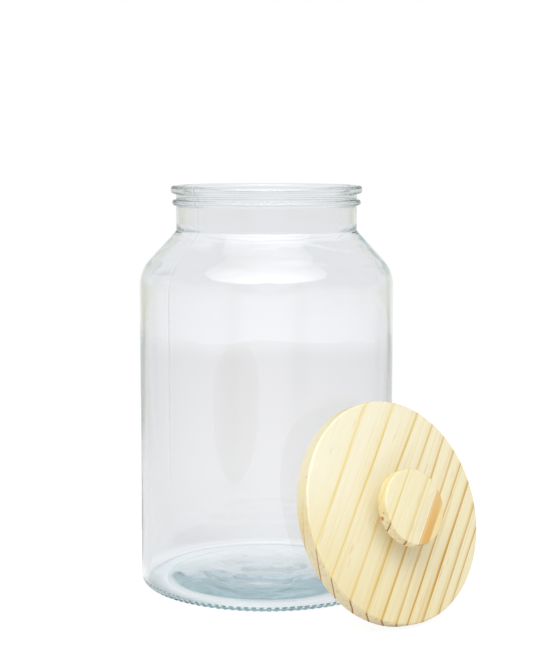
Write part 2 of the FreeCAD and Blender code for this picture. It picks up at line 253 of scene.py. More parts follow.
def add_node(tree, kind, feeds=None, stops=(), **settings):
    """Add a node: settings are its own properties, feeds its inputs by name or number, and stops the
    places and colours of a colour ramp. A feed that is a socket is linked, a node is linked by the first
    of its outputs in use, and any other is set. By number, MapRange takes a value as 0, its old limits
    as 1 and 2 and its new ones as 3 and 4, and Mix the second colour's share as 0 and its colours as 6
    and 7."""
    node = tree.nodes.new("ShaderNode" + kind)
    for name, value in settings.items():
        setattr(node, name, value)
    for key, value in (feeds or {}).items():
        if isinstance(value, bpy.types.Node):
            value = next(output for output in value.outputs if output.enabled)
        if isinstance(value, bpy.types.NodeSocket):
            tree.links.new(value, node.inputs[key])
        else:
            node.inputs[key].default_value = value
    if stops:
        elements = node.color_ramp.elements
        while len(elements) < len(stops):
            elements.new(1.0)
        for element, (place, colour) in zip(elements, stops):
            element.position = place
            element.color = colour
    return node


def empty_tree(owner):
    """Clear the nodes of a material or world, and return what adds a node to them."""
    owner.use_nodes = True
    owner.node_tree.nodes.clear()
    return functools.partial(add_node, owner.node_tree)


def new_finish(name):
    """An empty material, and what adds a node to it."""
    finish = bpy.data.materials.new(name)
    return finish, empty_tree(finish)


def rounded(corners, loop=False):
    """The outline through corners of radius, height and rounding, with each rounding drawn as an arc."""
    points = []
    total = len(corners)
    for index, (radius, height, bend) in enumerate(corners):
        here = Vector((radius, height))
        at_end = not loop and index in (0, total - 1)
        if at_end or bend < TINY:
            points.append(here)
            continue
        back = (Vector(corners[index - 1][:2]) - here).normalized()
        on = (Vector(corners[(index + 1) % total][:2]) - here).normalized()
        half = back.angle(on) / 2.0
        centre = here + (back + on).normalized() * (bend / math.sin(half))
        start = here + back * (bend / math.tan(half)) - centre
        sweep = start.angle_signed(here + on * (bend / math.tan(half)) - centre)
        steps = max(2, math.ceil(abs(sweep) / ARC_STEP), math.ceil(abs(sweep) * bend / ARC_RUN))
        for step in range(steps + 1):
            points.append(centre + Matrix.Rotation(-sweep * step / steps, 2) @ start)
    return points


def stepped(points, longest):
    """The outline with its long straight runs cut into even steps, no longer than longest(middle)."""
    result = []
    for here, there in zip(points, points[1:]):
        steps = max(1, math.ceil((there - here).length / longest((here + there) / 2.0)))
        result += [here.lerp(there, step / steps) for step in range(steps)]
    return result + [points[-1]]


def bridge(form, lower, upper):
    """Faces between two rings: a fan to a point, quads, or five corners where one is twice as fine."""
    if len(lower) > len(upper):
        lower, upper = upper, lower
    few, many = len(lower), len(upper)
    for index in range(many if few == 1 else few):
        following = (index + 1) % few
        if few == 1:
            form.faces.new((lower[0], upper[index], upper[(index + 1) % many]))
        elif few == many:
            form.faces.new((lower[index], lower[following], upper[following], upper[index]))
        else:
            fine = 2 * index
            form.faces.new((lower[index], lower[following], upper[(fine + 2) % many],
                            upper[fine + 1], upper[fine]))


def spin(outline, turns, loop=False):
    """A bmesh turned about Z from an outline; turns gives the columns' angles."""
    form = bmesh.new()
    rings = []
    for point in outline:
        if point.x < TINY:
            rings.append([form.verts.new((0.0, 0.0, point.y))])
        else:
            rings.append([form.verts.new((point.x * math.cos(turn), point.x * math.sin(turn), point.y))
                          for turn in turns])
    for lower, upper in zip(rings, rings[1:] + rings[:1] if loop else rings[1:]):
        bridge(form, lower, upper)
    return form


def even_turns(columns):
    """Angles of evenly spaced columns round an axis."""
    return [math.tau * column / columns for column in range(columns)]


def set_down(name, form, finish, where):
    """Make an object of a bmesh there, with one finish."""
    mesh = bpy.data.meshes.new(name)
    form.to_mesh(mesh)
    form.free()
    mesh.materials.append(finish)
    piece = bpy.data.objects.new(name, mesh)
    bpy.context.scene.collection.objects.link(piece)
    piece.matrix_world = where
    return piece


def show(name, form, finish, node, body, where):
    """Make a piece of a bmesh: it stands for a node of the construction and rides on that node's body."""
    bmesh.ops.recalc_face_normals(form, faces=form.faces)
    for face in form.faces:
        face.smooth = True
    piece = set_down(name, form, finish, where)
    piece.data.set_sharp_from_angle(angle=SHARP_EDGE)
    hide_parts(node)
    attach(piece, body)


def clear_glass(colours):
    """Soda-lime glass, pressed and blown in a mould and fire-polished: it is smooth and bright, bends
    what is seen through it, and shows its blue-green where light runs through a lot of it. The ring that
    the jar stands on is worn dull."""
    bare_above, worn_below, worn_roughness = 0.1 * MM, 0.03 * MM, 0.6
    wall_above, base_below = 14.0 * MM, 10.5 * MM
    finish, add = new_finish("soda_lime_glass_moulded")
    place = add("TexCoord").outputs["Object"]
    height = add("SeparateXYZ", {0: place}).outputs["Z"]
    wear = add("MapRange", {0: height, 1: bare_above, 2: worn_below, 4: worn_roughness})
    glass = add("BsdfPrincipled", {
        "Base Color": colours.glass_tint, "Roughness": wear, "IOR": 1.52, "Transmission Weight": 1.0})
    base = add("MapRange", {0: height, 1: wall_above, 2: base_below})
    shade = add("Mix", {0: base, 6: colours.glass_shade, 7: colours.glass_base_shade}, data_type="RGBA")
    lit_through = add("BsdfTransparent", {0: shade})
    path = add("LightPath")
    unseen = add("Math", {
        0: path.outputs["Is Shadow Ray"], 1: path.outputs["Is Diffuse Ray"]}, operation="MAXIMUM")
    surface = add("MixShader", {0: unseen, 1: glass, 2: lit_through})
    depth = add("VolumeAbsorption", {"Color": colours.glass_body, "Density": colours.glass_body_density})
    add("OutputMaterial", {"Surface": surface, "Volume": depth})
    return finish


# How much the trunk grew in each year that the lid's board crosses, in millimetres, the radius at which
# the first of these years begins, the blur at a year's edge, and the radii of young and of old wood
YEARS = (7.0, 7.8, 6.8, 9.0, 7.9, 7.0, 7.0, 5.3, 7.0, 7.2, 5.1, 6.9)
FIRST_YEAR = 90.5
LAST_YEAR = FIRST_YEAR + sum(YEARS)
YEAR_EDGE = 0.2
YOUNG, OLD = 97.0, 148.0
# How much later in the year late wood begins in young wood, and how much sooner in old wood
YOUNG_DELAY, OLD_LEAD = 0.07, 0.08
# Sines of the angle between surface and fibres at which end grain begins and is full
END_GRAIN_BEGINS, END_GRAIN_FULL = 0.3, 0.9
# Shares of the tones that a surface cut at a slant and one cut across its fibres take on
SLANT_SHARE, END_SHARE, BROWN_SHARE = 0.46, 0.62, 0.95
# Where the board's lower end starts to turn buff along the grain, and where it is buff, in millimetres
BUFF_BEGINS, BUFF_FULL = -8.0, -62.0


def pine(name, grain_angle, pith, growth, band, faintest, early, late, colours, pockets=(), glue=None):
    """Pine, planed and sanded but not varnished: pale early wood that darkens towards a narrow gold
    line at each year's end, fine fibres, resin flecks, and brown lines where the ends are cut across.
    pith is where the trunk's middle lies across the grain and above the lid's face, in millimetres;
    growth is how much wider the years are than YEARS; band gives the parts of a year at which late wood
    begins and is full; faintest is the weight of the innermost lines; pockets holds places and sizes of
    resin; glue is where a painted highlight, a pale line beside the glue joint, lies across the grain."""
    finish, add = new_finish(name)
    coordinates = add("TexCoord")
    normal = coordinates.outputs["Normal"]
    grain = add("Mapping", {
        "Vector": coordinates.outputs["Object"], "Rotation": (0.0, 0.0, grain_angle),
        "Scale": (1.0 / MM, 1.0 / MM, 1.0 / MM)})
    place = add("SeparateXYZ", {0: grain})

    def along_grain(across, along, detail=2.0):
        """Noise whose spots measure across by along millimetres."""
        stretched = add("VectorMath", {
            0: grain, 1: (1.0 / across, 1.0 / along, 1.0 / across)}, operation="MULTIPLY")
        return add("TexNoise", {"Vector": stretched, "Scale": 1.0, "Detail": detail})

    # The trunk grew a little crooked, so the years sway
    bent = grain
    for across, along, sway in ((38.0, 120.0, 2.4), (7.0, 55.0, 0.5)):
        offset = add("VectorMath", {
            0: along_grain(across, along).outputs["Color"], 1: (0.5, 0.5, 0.5)}, operation="SUBTRACT")
        bent = add("VectorMath", {0: offset, 1: (sway, sway, sway), 2: bent}, operation="MULTIPLY_ADD")
    from_pith = add("VectorMath", {0: bent, 1: (pith[0], 0.0, pith[1])}, operation="SUBTRACT")
    crosswise = add("VectorMath", {
        0: from_pith, 1: (1.0 / growth, 0.0, 1.0 / growth)}, operation="MULTIPLY")
    radius = add("VectorMath", {0: crosswise}, operation="LENGTH")
    stops = []
    grown = 0.0
    span = LAST_YEAR - FIRST_YEAR
    for year in YEARS:
        stops += [((grown + YEAR_EDGE) / span, BLACK), ((grown + year - YEAR_EDGE) / span, WHITE)]
        grown += year
    along_years = add("MapRange", {0: radius, 1: FIRST_YEAR, 2: LAST_YEAR})
    season = add("ValToRGB", {0: along_years}, stops=stops)
    age = add("MapRange", {0: radius, 1: YOUNG, 2: OLD})

    # Late wood: a line at each year's end with a soft halo before it, fainter in young wood and uneven
    # along the grain, but full where the wood is cut across
    begin = add("MapRange", {0: age, 3: band[0] + YOUNG_DELAY, 4: band[0] - OLD_LEAD})
    late_wood = add("MapRange", {0: season, 1: begin, 2: band[1]}, interpolation_type="SMOOTHSTEP")
    across_fibres = add("VectorMath", {
        0: normal, 1: (math.sin(grain_angle), math.cos(grain_angle), 0.0)}, operation="DOT_PRODUCT")
    cut_across = add("Math", {0: across_fibres}, operation="ABSOLUTE")
    end_grain = add("MapRange", {
        0: cut_across, 1: END_GRAIN_BEGINS, 2: END_GRAIN_FULL}, interpolation_type="SMOOTHSTEP")
    halo = add("MapRange", {0: end_grain, 3: 0.22, 4: 0.08})
    before_late = add("MapRange", {0: season, 1: 0.45, 2: 0.95, 4: halo})
    late_wood = add("Math", {0: late_wood, 1: before_late}, operation="MAXIMUM")
    weight = add("MapRange", {0: age, 3: faintest})
    uneven = add("MapRange", {0: along_grain(11.0, 70.0), 1: 0.3, 2: 0.62, 3: 0.45})
    weight = add("Math", {0: weight, 1: uneven}, operation="MULTIPLY")
    weight = add("Math", {0: weight, 1: end_grain}, operation="MAXIMUM")
    line = add("Math", {0: late_wood, 1: weight}, operation="MULTIPLY")

    out_of_face = add("SeparateXYZ", {0: normal}).outputs["Z"]
    tilt = add("Math", {0: out_of_face}, operation="ABSOLUTE")
    on_side = add("MapRange", {0: tilt, 1: 0.3, 2: 0.1, 4: 0.35})
    slanted = add("MapRange", {0: end_grain, 1: 0.1, 2: 0.55, 3: on_side})
    slanted = add("MapRange", {0: end_grain, 1: 0.9, 2: 0.6, 4: slanted})
    slanted = add("Math", {0: slanted, 1: SLANT_SHARE}, operation="MULTIPLY")
    soaked = add("Math", {0: end_grain, 1: END_SHARE}, operation="MULTIPLY")
    browned = add("Math", {0: end_grain, 1: BROWN_SHARE}, operation="MULTIPLY")
    low_end = add("MapRange", {0: place.outputs["Y"], 1: BUFF_BEGINS, 2: BUFF_FULL})
    early_colour = early[0]
    for part, tint in ((age, early[1]), (low_end, colours.pine_buff), (slanted, colours.pine_slant),
                       (soaked, colours.pine_end)):
        early_colour = add("Mix", {0: part, 6: early_colour, 7: tint}, data_type="RGBA")
    late_colour = late[0]
    for part, tint in ((age, late[1]), (browned, colours.pine_brown)):
        late_colour = add("Mix", {0: part, 6: late_colour, 7: tint}, data_type="RGBA")
    colour = add("Mix", {0: line, 6: early_colour, 7: late_colour}, data_type="RGBA")
    fibres = along_grain(0.5, 16.0, 3.0)
    fibre_shade = add("MapRange", {0: fibres, 1: 0.35, 2: 0.65, 3: 0.975, 4: 1.01})
    colour = add("VectorMath", {0: colour, "Scale": fibre_shade}, operation="SCALE")

    # What lies over that: streaks of late wood, flecks and pockets of resin, and a painted highlight along
    # the glue joint
    streaks = add("MapRange", {0: along_grain(1.8, 90.0), 1: 0.52, 2: 0.7, 4: 0.26})
    flecks = add("MapRange", {0: along_grain(0.8, 24.0, 1.0), 1: 0.72, 2: 0.77, 4: 0.55})
    overlays = [(streaks, late_colour), (flecks, colours.pine_resin)]
    for across, along, height, size in pockets:
        away = add("VectorMath", {0: bent, 1: (across, along, height)}, operation="DISTANCE")
        pocket = add("MapRange", {0: away, 1: size, 2: size * 0.5, 4: 0.85})
        overlays.append((pocket, colours.pine_resin))
    # A painted highlight: a pale line on the narrow stave beside the glue joint, where its broken edge
    # catches the light
    if glue is not None:
        painted_highlight = add("MapRange", {0: place.outputs["X"], 1: glue + 0.55, 2: glue + 0.3})
        overlays.append((painted_highlight, colours.glue))
    for part, tint in overlays:
        colour = add("Mix", {0: part, 6: colour, 7: tint}, data_type="RGBA")

    # Late wood is harder and shinier than early wood, and the sanded round edges than the faces
    roughness = add("MapRange", {0: line, 3: 0.6, 4: 0.46})
    on_round = add("MapRange", {0: out_of_face, 1: 0.1, 2: 0.3})
    on_round = add("MapRange", {0: out_of_face, 1: 0.99, 2: 0.93, 4: on_round})
    roughness = add("MapRange", {0: on_round, 3: roughness, 4: 0.3})
    sheen = add("MapRange", {0: on_round, 3: 0.35, 4: 0.4})
    relief = add("Math", {0: line, 1: 0.6, 2: fibres}, operation="MULTIPLY_ADD")
    bump = add("Bump", {"Strength": 0.25, "Distance": 0.12 * MM, "Height": relief})
    wood = add("BsdfPrincipled", {
        "Base Color": colour, "Roughness": roughness, "IOR": 1.5, "Specular IOR Level": sheen,
        "Normal": bump})
    add("OutputMaterial", {"Surface": wood})
    return finish


def silicone_rubber(colours):
    """Translucent silicone, moulded in an etched tool: milky and soft, with a dull sheen."""
    etched_grain = 0.6 * MM
    finish, add = new_finish("silicone_rubber_moulded")
    place = add("TexCoord").outputs["Object"]
    grain = add("TexNoise", {"Vector": place, "Scale": 1.0 / etched_grain, "Detail": 2.0})
    roughness = add("MapRange", {0: grain, 3: 0.38, 4: 0.55})
    bump = add("Bump", {"Strength": 0.1, "Distance": 0.05 * MM, "Height": grain})
    rubber = add("BsdfPrincipled", {
        "Base Color": colours.silicone, "Roughness": roughness, "IOR": 1.41, "Subsurface Weight": 0.3,
        "Subsurface Radius": (1.0, 1.0, 1.0), "Subsurface Scale": 1.0 * MM, "Normal": bump})
    add("OutputMaterial", {"Surface": rubber})
    return finish


def zinc_plate(colours):
    """Steel with bright zinc plating: grey metal with cloudy crystals in its shine."""
    crystal_size = 0.7 * MM
    finish, add = new_finish("steel_zinc_plated")
    place = add("TexCoord").outputs["Object"]
    crystals = add("TexVoronoi", {"Vector": place, "Scale": 1.0 / crystal_size}).outputs["Color"]
    shine = add("MapRange", {0: crystals, 3: 0.24, 4: 0.42})
    metal = add("BsdfPrincipled", {"Base Color": colours.zinc, "Metallic": 1.0, "Roughness": shine})
    add("OutputMaterial", {"Surface": metal})
    return finish


def jar_outline(sizes):
    """The jar's outline, from the middle of its underside round the rim to the inner floor's middle."""
    shoulder_top = sizes.body_height + sizes.shoulder_rise
    ring_foot = shoulder_top + sizes.neck_height
    ring_top = ring_foot + sizes.ring_height
    rim_foot = ring_top + sizes.ring_gap
    ring_radius = sizes.neck_radius + sizes.ring_stand
    rim_radius = sizes.neck_radius + sizes.rim_stand
    bearing_inside = sizes.radius - sizes.heel_round - sizes.bearing_width
    push_flat = bearing_inside - sizes.push_slope
    bore = sizes.radius - sizes.wall
    cone_run = sizes.radius - sizes.neck_radius
    slope = sizes.shoulder_rise / cone_run
    drop = sizes.shoulder_wall * math.hypot(cone_run, sizes.shoulder_rise) / cone_run
    inner_shoulder = sizes.body_height - drop + sizes.wall * slope
    inner_neck = sizes.body_height - drop + (sizes.radius - sizes.mouth_radius) * slope
    inner_floor = sizes.push_up + sizes.base_thickness
    return rounded([
        (0.0, sizes.push_up, 0.0),
        (push_flat, sizes.push_up, sizes.push_round),
        (bearing_inside, 0.0, sizes.inner_corner),
        (sizes.radius, 0.0, sizes.heel_round),
        (sizes.radius, sizes.body_height, sizes.shoulder_round),
        (sizes.neck_radius, shoulder_top, sizes.neck_root_round),
        (sizes.neck_radius, ring_foot, sizes.inner_corner),
        (ring_radius, ring_foot, sizes.ring_round),
        (ring_radius, ring_top, sizes.ring_round),
        (sizes.neck_radius, ring_top, sizes.inner_corner),
        (sizes.neck_radius, rim_foot, sizes.inner_corner),
        (rim_radius, rim_foot, sizes.rim_round),
        (rim_radius, sizes.height, sizes.rim_round),
        (sizes.mouth_radius, sizes.height, sizes.rim_round),
        (sizes.mouth_radius, inner_neck, sizes.inner_neck_round),
        (bore, inner_shoulder, sizes.shoulder_round - sizes.shoulder_wall),
        (bore, sizes.heel_thickness, sizes.inner_heel_round),
        (bore - sizes.floor_ring, sizes.heel_thickness, sizes.floor_hollow),
        (push_flat, inner_floor, sizes.push_round),
        (0.0, inner_floor, 0.0),
    ])


def smooth_step(low, high, value):
    """0 at low, 1 at high, eased at both ends."""
    part = min(1.0, max(0.0, (value - low) / (high - low)))
    return part * part * (3.0 - 2.0 * part)


def jar_columns(sizes):
    """Angles of the jar's columns: three to each stipple, and six more beside each mould line."""
    turns = even_turns(3 * sizes.stipples)
    step = turns[1]
    for side in (0.0, math.pi):
        line = round((sizes.seam_turn + side) / step) * step % math.tau
        for beside in BESIDE_SEAM:
            turns += [(line - beside * step) % math.tau, (line + beside * step) % math.tau]
    turns.sort()
    return turns


def seam_lift(sizes, turn):
    """Height of the mould line at that angle."""
    step = math.tau / (3 * sizes.stipples)
    lift = 0.0
    for side, part in ((0.0, 1.0), (math.pi, sizes.back_seam)):
        line = round((sizes.seam_turn + side) / step) * step
        away = math.remainder(turn - line, math.tau) * sizes.radius
        lift += part * sizes.seam_height * math.exp(-(away / sizes.seam_width) ** 2)
    return lift


def jar_form(sizes):
    """The jar as one closed surface: mould lines and a stippled heel outside, gentle waves inside."""
    floor_top = sizes.push_up + sizes.base_thickness + TINY
    heel_end = sizes.heel_round
    bearing_end = sizes.radius - sizes.heel_round
    chain_inside = bearing_end - sizes.bearing_width
    neck_foot = sizes.body_height + sizes.shoulder_rise
    shoulder_foot = sizes.body_height - 0.5 * sizes.shoulder_round
    # Heights between which the waves inside die out, and between which the mould lines come up
    wavy_below, still_above = 182.0 * MM, 208.0 * MM
    seam_begins, seam_full = 60.0 * MM, 95.0 * MM
    # Below the neck, the sag dies out over the first of these heights, and the rest over the second
    sag_fade, cone_fade = 6.0 * MM, 4.0 * MM
    # The inner floor's waves die out towards the wall over this width, and its streaks between these radii
    floor_fade = 16.0 * MM
    still_middle, streaked = 4.0 * MM, 22.0 * MM

    def outer_step(middle):
        """Longest step of the outer outline there: short in the base and on the shoulder."""
        if middle.y < heel_end:
            return sizes.base_step
        return sizes.shoulder_step if shoulder_foot < middle.y < neck_foot else sizes.longest_step

    def inner_step(middle):
        """Longest step of the inner outline there: short in the floor."""
        return sizes.base_step if middle.y < floor_top else sizes.longest_step

    def inside_move(point, turn):
        """How far the inside stands out there: waves of two lengths, and swirls and streaks in the floor."""
        calm = smooth_step(still_above, wavy_below, point.y)
        spot = Vector((point.x * math.cos(turn), point.x * math.sin(turn), 0.6 * point.y))
        spot /= sizes.ripple_span
        swell = noise.noise(spot) + 0.4 * noise.noise(spot * 2.3 + Vector((7.0, 3.0, 1.0)))
        move = sizes.ripple * calm * swell
        if point.y < floor_top + sizes.ripple:
            in_floor = smooth_step(bearing_end, bearing_end - floor_fade, point.x)
            in_ring = in_floor * smooth_step(still_middle, streaked, point.x)
            along = Vector((math.cos(turn), math.sin(turn), 0.0)) * sizes.streak_turns
            along.z = point.x / sizes.streak_pitch
            move += sizes.swirl * in_floor * noise.noise(spot * (sizes.ripple_span / sizes.swirl_span))
            move += sizes.streak * in_ring * noise.noise(along)
        return move

    def outside_move(point, turn):
        """How far the outside stands out there: mould lines, sag and the shoulder's fine waves."""
        spot = Vector((point.x * math.cos(turn), point.x * math.sin(turn), point.y)) / sizes.ripple_span
        calm = (smooth_step(sizes.heel_round, 2.0 * sizes.ripple_span, point.y)
                * smooth_step(neck_foot, neck_foot - sag_fade, point.y))
        on_cone = (smooth_step(shoulder_foot, sizes.body_height, point.y)
                   * smooth_step(neck_foot, neck_foot - cone_fade, point.y))
        faint = smooth_step(seam_begins, seam_full, point.y) * (1.0 - 0.7 * on_cone)
        faint *= 1.0 - 0.4 * smooth_step(neck_foot - cone_fade, neck_foot, point.y)
        move = faint * seam_lift(sizes, turn) - sizes.seam_height
        move += sizes.sag * calm * (noise.noise(spot * 1.4) - 1.0)
        spot *= sizes.ripple_span / sizes.draw_span
        spot.z = point.y / sizes.draw_pitch
        return move + sizes.draw * on_cone * (noise.noise(spot) - 1.0)

    def heel_move(point, turn):
        """How far the heel stands out there: the knurled chain, shallow at the back."""
        rise = (smooth_step(bearing_end - 0.5 * MM, bearing_end + 1.5 * MM, point.x)
                * smooth_step(sizes.stipple_top, 0.5 * sizes.stipple_top, point.y)
                * (0.2 + 0.8 * smooth_step(0.2, -0.4, math.sin(turn + STIPPLE_TURN))))
        wave = 0.5 + 0.5 * math.cos(sizes.stipples * turn)
        set_back = sizes.seam_height * smooth_step(0.0, heel_end, point.y)
        return -sizes.stipple_depth * rise * wave - set_back

    corners = jar_outline(sizes)
    crown = max(range(len(corners)), key=lambda index: corners[index].y)
    outside = stepped(corners[:crown + 1], outer_step)
    top = len(outside) - 1
    outline = outside + stepped(corners[crown:], inner_step)[1:]
    coarse = jar_columns(sizes)
    fine = []
    for index, turn in enumerate(coarse):
        following = coarse[(index + 1) % len(coarse)]
        fine += [turn, turn + ((following - turn) % math.tau) / 2.0]
    form = bmesh.new()
    rings = []
    for index, point in enumerate(outline):
        if point.x < TINY:
            rings.append([form.verts.new((0.0, 0.0, point.y))])
            continue
        before, after = outline[max(0, index - 1)], outline[min(len(outline) - 1, index + 1)]
        run = (after - before).normalized()
        outwards = Vector((run.y, -run.x))
        on_heel = index <= top and point.y < heel_end + TINY and point.x > chain_inside - TINY
        ring = []
        for turn in fine if on_heel else coarse:
            move = 0.0
            if index > top:
                move = inside_move(point, turn)
            elif point.y > heel_end:
                move = outside_move(point, turn)
            elif on_heel:
                move = heel_move(point, turn)
            moved = point + outwards * move
            ring.append(form.verts.new((moved.x * math.cos(turn), moved.x * math.sin(turn), moved.y)))
        rings.append(ring)
    for lower, upper in zip(rings, rings[1:]):
        bridge(form, lower, upper)
    return form


def lid_frame():
    """Where the leaning lid lies: origin at the middle of its face, Z out of the face, Y up the lid."""
    disc = frame["nodes"]["lid_disc"].data
    face = max((side for side in disc.polygons if side.normal.y < 0.0), key=lambda side: side.area)
    axis = face.normal.copy()
    low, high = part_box("knob_stem")
    middle = (low + high) / 2.0
    origin = middle - axis * (middle - face.center).dot(axis)
    across = Vector((1.0, 0.0, 0.0))
    turn = Matrix((across, axis.cross(across), axis)).transposed().to_4x4()
    return Matrix.Translation(origin) @ turn


def turned(corners, columns=LID_COLUMNS):
    """A piece turned about Z from a closed outline of corners."""
    return spin(rounded(corners, loop=True), even_turns(columns), loop=True)


def disc_form(sizes):
    """The lid's board, with its sanded edges and the screw's hole."""
    back = -sizes.disc_thickness
    return turned([
        (sizes.screw_hole, back, 0.0),
        (sizes.disc_radius, back, sizes.back_round),
        (sizes.disc_radius, 0.0, sizes.face_round),
        (sizes.screw_hole, 0.0, 0.0),
    ])


def plug_form(sizes):
    """The plug, with the seal's groove and the countersunk hole."""
    top = -sizes.disc_thickness
    foot = top - sizes.plug_depth
    groove_foot = foot + sizes.groove_rise
    groove_top = groove_foot + sizes.groove_height
    groove_radius = sizes.plug_radius - sizes.groove_depth
    edge = 0.3 * MM
    return turned([
        (sizes.screw_head, foot, 0.0),
        (sizes.plug_radius, foot, sizes.plug_round),
        (sizes.plug_radius, groove_foot, edge),
        (groove_radius, groove_foot, 0.0),
        (groove_radius, groove_top, 0.0),
        (sizes.plug_radius, groove_top, edge),
        (sizes.plug_radius, top, 0.0),
        (sizes.screw_hole, top, 0.0),
        (sizes.screw_hole, foot + sizes.sink_depth, 0.0),
    ])


def seal_form(sizes):
    """The seal: two rounded lips on a band."""
    foot = -sizes.disc_thickness - sizes.plug_depth + sizes.groove_rise
    top = foot + sizes.groove_height
    inside = sizes.plug_radius - sizes.groove_depth + sizes.seal_clearance
    band = inside + sizes.seal_web
    tip = 0.45 * sizes.seal_lip
    hollow = 0.4 * MM
    return turned([
        (inside, foot, 0.0),
        (sizes.seal_radius, foot, tip),
        (sizes.seal_radius, foot + sizes.seal_lip, tip),
        (band, foot + sizes.seal_lip, hollow),
        (band, top - sizes.seal_lip, hollow),
        (sizes.seal_radius, top - sizes.seal_lip, tip),
        (sizes.seal_radius, top, tip),
        (inside, top, 0.0),
    ])


def stem_form(sizes):
    """The knob's stem, a turned spacer with the screw's hole."""
    edge = 0.2 * MM
    return turned([
        (sizes.screw_hole, 0.0, 0.0),
        (sizes.stem_radius, 0.0, edge),
        (sizes.stem_radius, sizes.stem_height, edge),
        (sizes.screw_hole, sizes.stem_height, 0.0),
    ], STEM_COLUMNS)


def stave_form(sizes, wide):
    """One stave of the knob's head: the turned head, sawn along the glue line, with broken edges."""
    foot = sizes.stem_height
    top = foot + sizes.knob_thickness
    outline = rounded([
        (0.0, foot + sizes.screw_bite, 0.0),
        (sizes.screw_hole, foot + sizes.screw_bite, 0.0),
        (sizes.screw_hole, foot, 0.0),
        (sizes.knob_radius, foot, sizes.knob_round),
        (sizes.knob_radius, top, sizes.knob_round),
        (0.0, top, 0.0),
    ])
    form = spin(outline, even_turns(KNOB_COLUMNS))
    across = Vector((math.cos(sizes.grain_angle), -math.sin(sizes.grain_angle), 0.0))
    sawn = bmesh.ops.bisect_plane(
        form, geom=form.verts[:] + form.edges[:] + form.faces[:], plane_co=across * sizes.glue_offset,
        plane_no=across, clear_outer=wide, clear_inner=not wide)
    cut = [item for item in sawn["geom_cut"] if isinstance(item, bmesh.types.BMEdge)]
    filled = bmesh.ops.contextual_create(form, geom=cut)["faces"]
    bmesh.ops.bevel(
        form, geom=[edge for face in filled for edge in face.edges], offset=sizes.glue_edge,
        segments=2, profile=0.5, affect="EDGES")
    return form


class STORAGE_JAR_OT_glass(bpy.types.Operator):
    """Build the glass jar with its mould lines, stippled heel and wavy inside"""

    bl_idname = "storage_jar.glass"
    bl_label = "Glass jar"

    def execute(self, context):
        scene = context.scene
        show("jar", jar_form(scene.jar_sizes), clear_glass(scene.jar_finishes),
             "glass_jar", "jar", Matrix())
        return {"FINISHED"}


class STORAGE_JAR_OT_boards(bpy.types.Operator):
    """Build the turned pine pieces of the lid: its board, its plug and the knob's stem"""

    bl_idname = "storage_jar.boards"
    bl_label = "Lid board, plug and stem"

    def execute(self, context):
        sizes, colours = context.scene.lid_sizes, context.scene.jar_finishes
        early = (colours.pine_pale, colours.pine_straw)
        late = (colours.pine_honey, colours.pine_gold)
        where = lid_frame()
        for piece, node, form, finish, pith, band, faintest in (
                ("lid_board", "lid_disc", disc_form,
                 "pine_board_sanded", (-80.0, -97.0), (0.82, 0.94), 0.65),
                ("lid_plug_turned", "lid_plug", plug_form,
                 "pine_plug_sanded", (95.0, 60.0), (0.5, 0.95), 0.5),
                ("knob_stem_turned", "knob_stem", stem_form,
                 "pine_stem_turned", (-60.0, -108.0), (0.5, 0.95), 0.5)):
            wood = pine(finish, sizes.grain_angle, pith, 1.0, band, faintest, early, late, colours)
            show(piece, form(sizes), wood, node, "lid", where)
        return {"FINISHED"}


class STORAGE_JAR_OT_staves(bpy.types.Operator):
    """Build the two staves that the knob's head is glued up from"""

    bl_idname = "storage_jar.staves"
    bl_label = "Knob staves"

    def execute(self, context):
        sizes, colours = context.scene.lid_sizes, context.scene.jar_finishes
        pale = (colours.pine_straw, colours.pine_straw)
        late = (colours.pine_honey, colours.pine_gold)
        cream = (colours.pine_cream, colours.pine_cream)
        amber = (colours.pine_amber, colours.pine_amber)
        pockets = ((-15.6, -12.9, 12.5, 1.0), (-14.2, -15.2, 10.6, 1.5))
        wide = pine("pine_stave_sanded", sizes.grain_angle, (-135.6, -66.3), 1.33, (0.83, 0.95), 0.8,
                    pale, late, colours, pockets)
        # The narrow stave takes a painted highlight along its glue joint
        narrow = pine("pine_stave_resinous", sizes.grain_angle, (-142.5, -40.0), 1.5, (0.0, 0.95), 1.0,
                      cream, amber, colours, glue=sizes.glue_offset / MM)
        where = lid_frame()
        show("knob_stave_wide", stave_form(sizes, True), wide, "knob_wide_stave", "lid", where)
        show("knob_stave_narrow", stave_form(sizes, False), narrow,
             "knob_narrow_stave", "lid", where)
        return {"FINISHED"}


class STORAGE_JAR_OT_seal(bpy.types.Operator):
    """Build the silicone seal and finish the screw"""

    bl_idname = "storage_jar.seal"
    bl_label = "Seal and screw"

    def execute(self, context):
        colours = context.scene.jar_finishes
        show("seal_lipped", seal_form(context.scene.lid_sizes), silicone_rubber(colours),
             "seal_ring", "lid", lid_frame())
        frame["nodes"]["knob_screw"].material_slots[0].material = zinc_plate(colours)
        return {"FINISHED"}


class STORAGE_JAR_OT_stage(bpy.types.Operator):
    """Set the floor, the even light, the softbox overhead and the camera"""

    bl_idname = "storage_jar.stage"
    bl_label = "Stage"

    def execute(self, context):
        scene = context.scene
        sizes = scene.stage_sizes
        scene.view_settings.view_transform = "Standard"
        make_floor(sizes)
        make_room(scene, sizes)
        make_softbox(sizes)
        make_camera(scene, sizes)
        scene.cycles.max_bounces = LIGHT_BOUNCES
        scene.cycles.glossy_bounces = LIGHT_BOUNCES
        scene.cycles.transmission_bounces = LIGHT_BOUNCES
        return {"FINISHED"}


def ray_kinds(add):
    """1 for rays from the camera, and 1 for those that glass and gloss send on."""
    path = add("LightPath")
    sent_on = add("Math", {
        0: path.outputs["Is Glossy Ray"], 1: path.outputs["Is Transmission Ray"]}, operation="MAXIMUM")
    return path.outputs["Is Camera Ray"], sent_on


def towards_camera(sizes):
    """The level direction from the jar's axis to the camera."""
    return Vector((math.sin(sizes.camera_turn), -math.cos(sizes.camera_turn), 0.0))


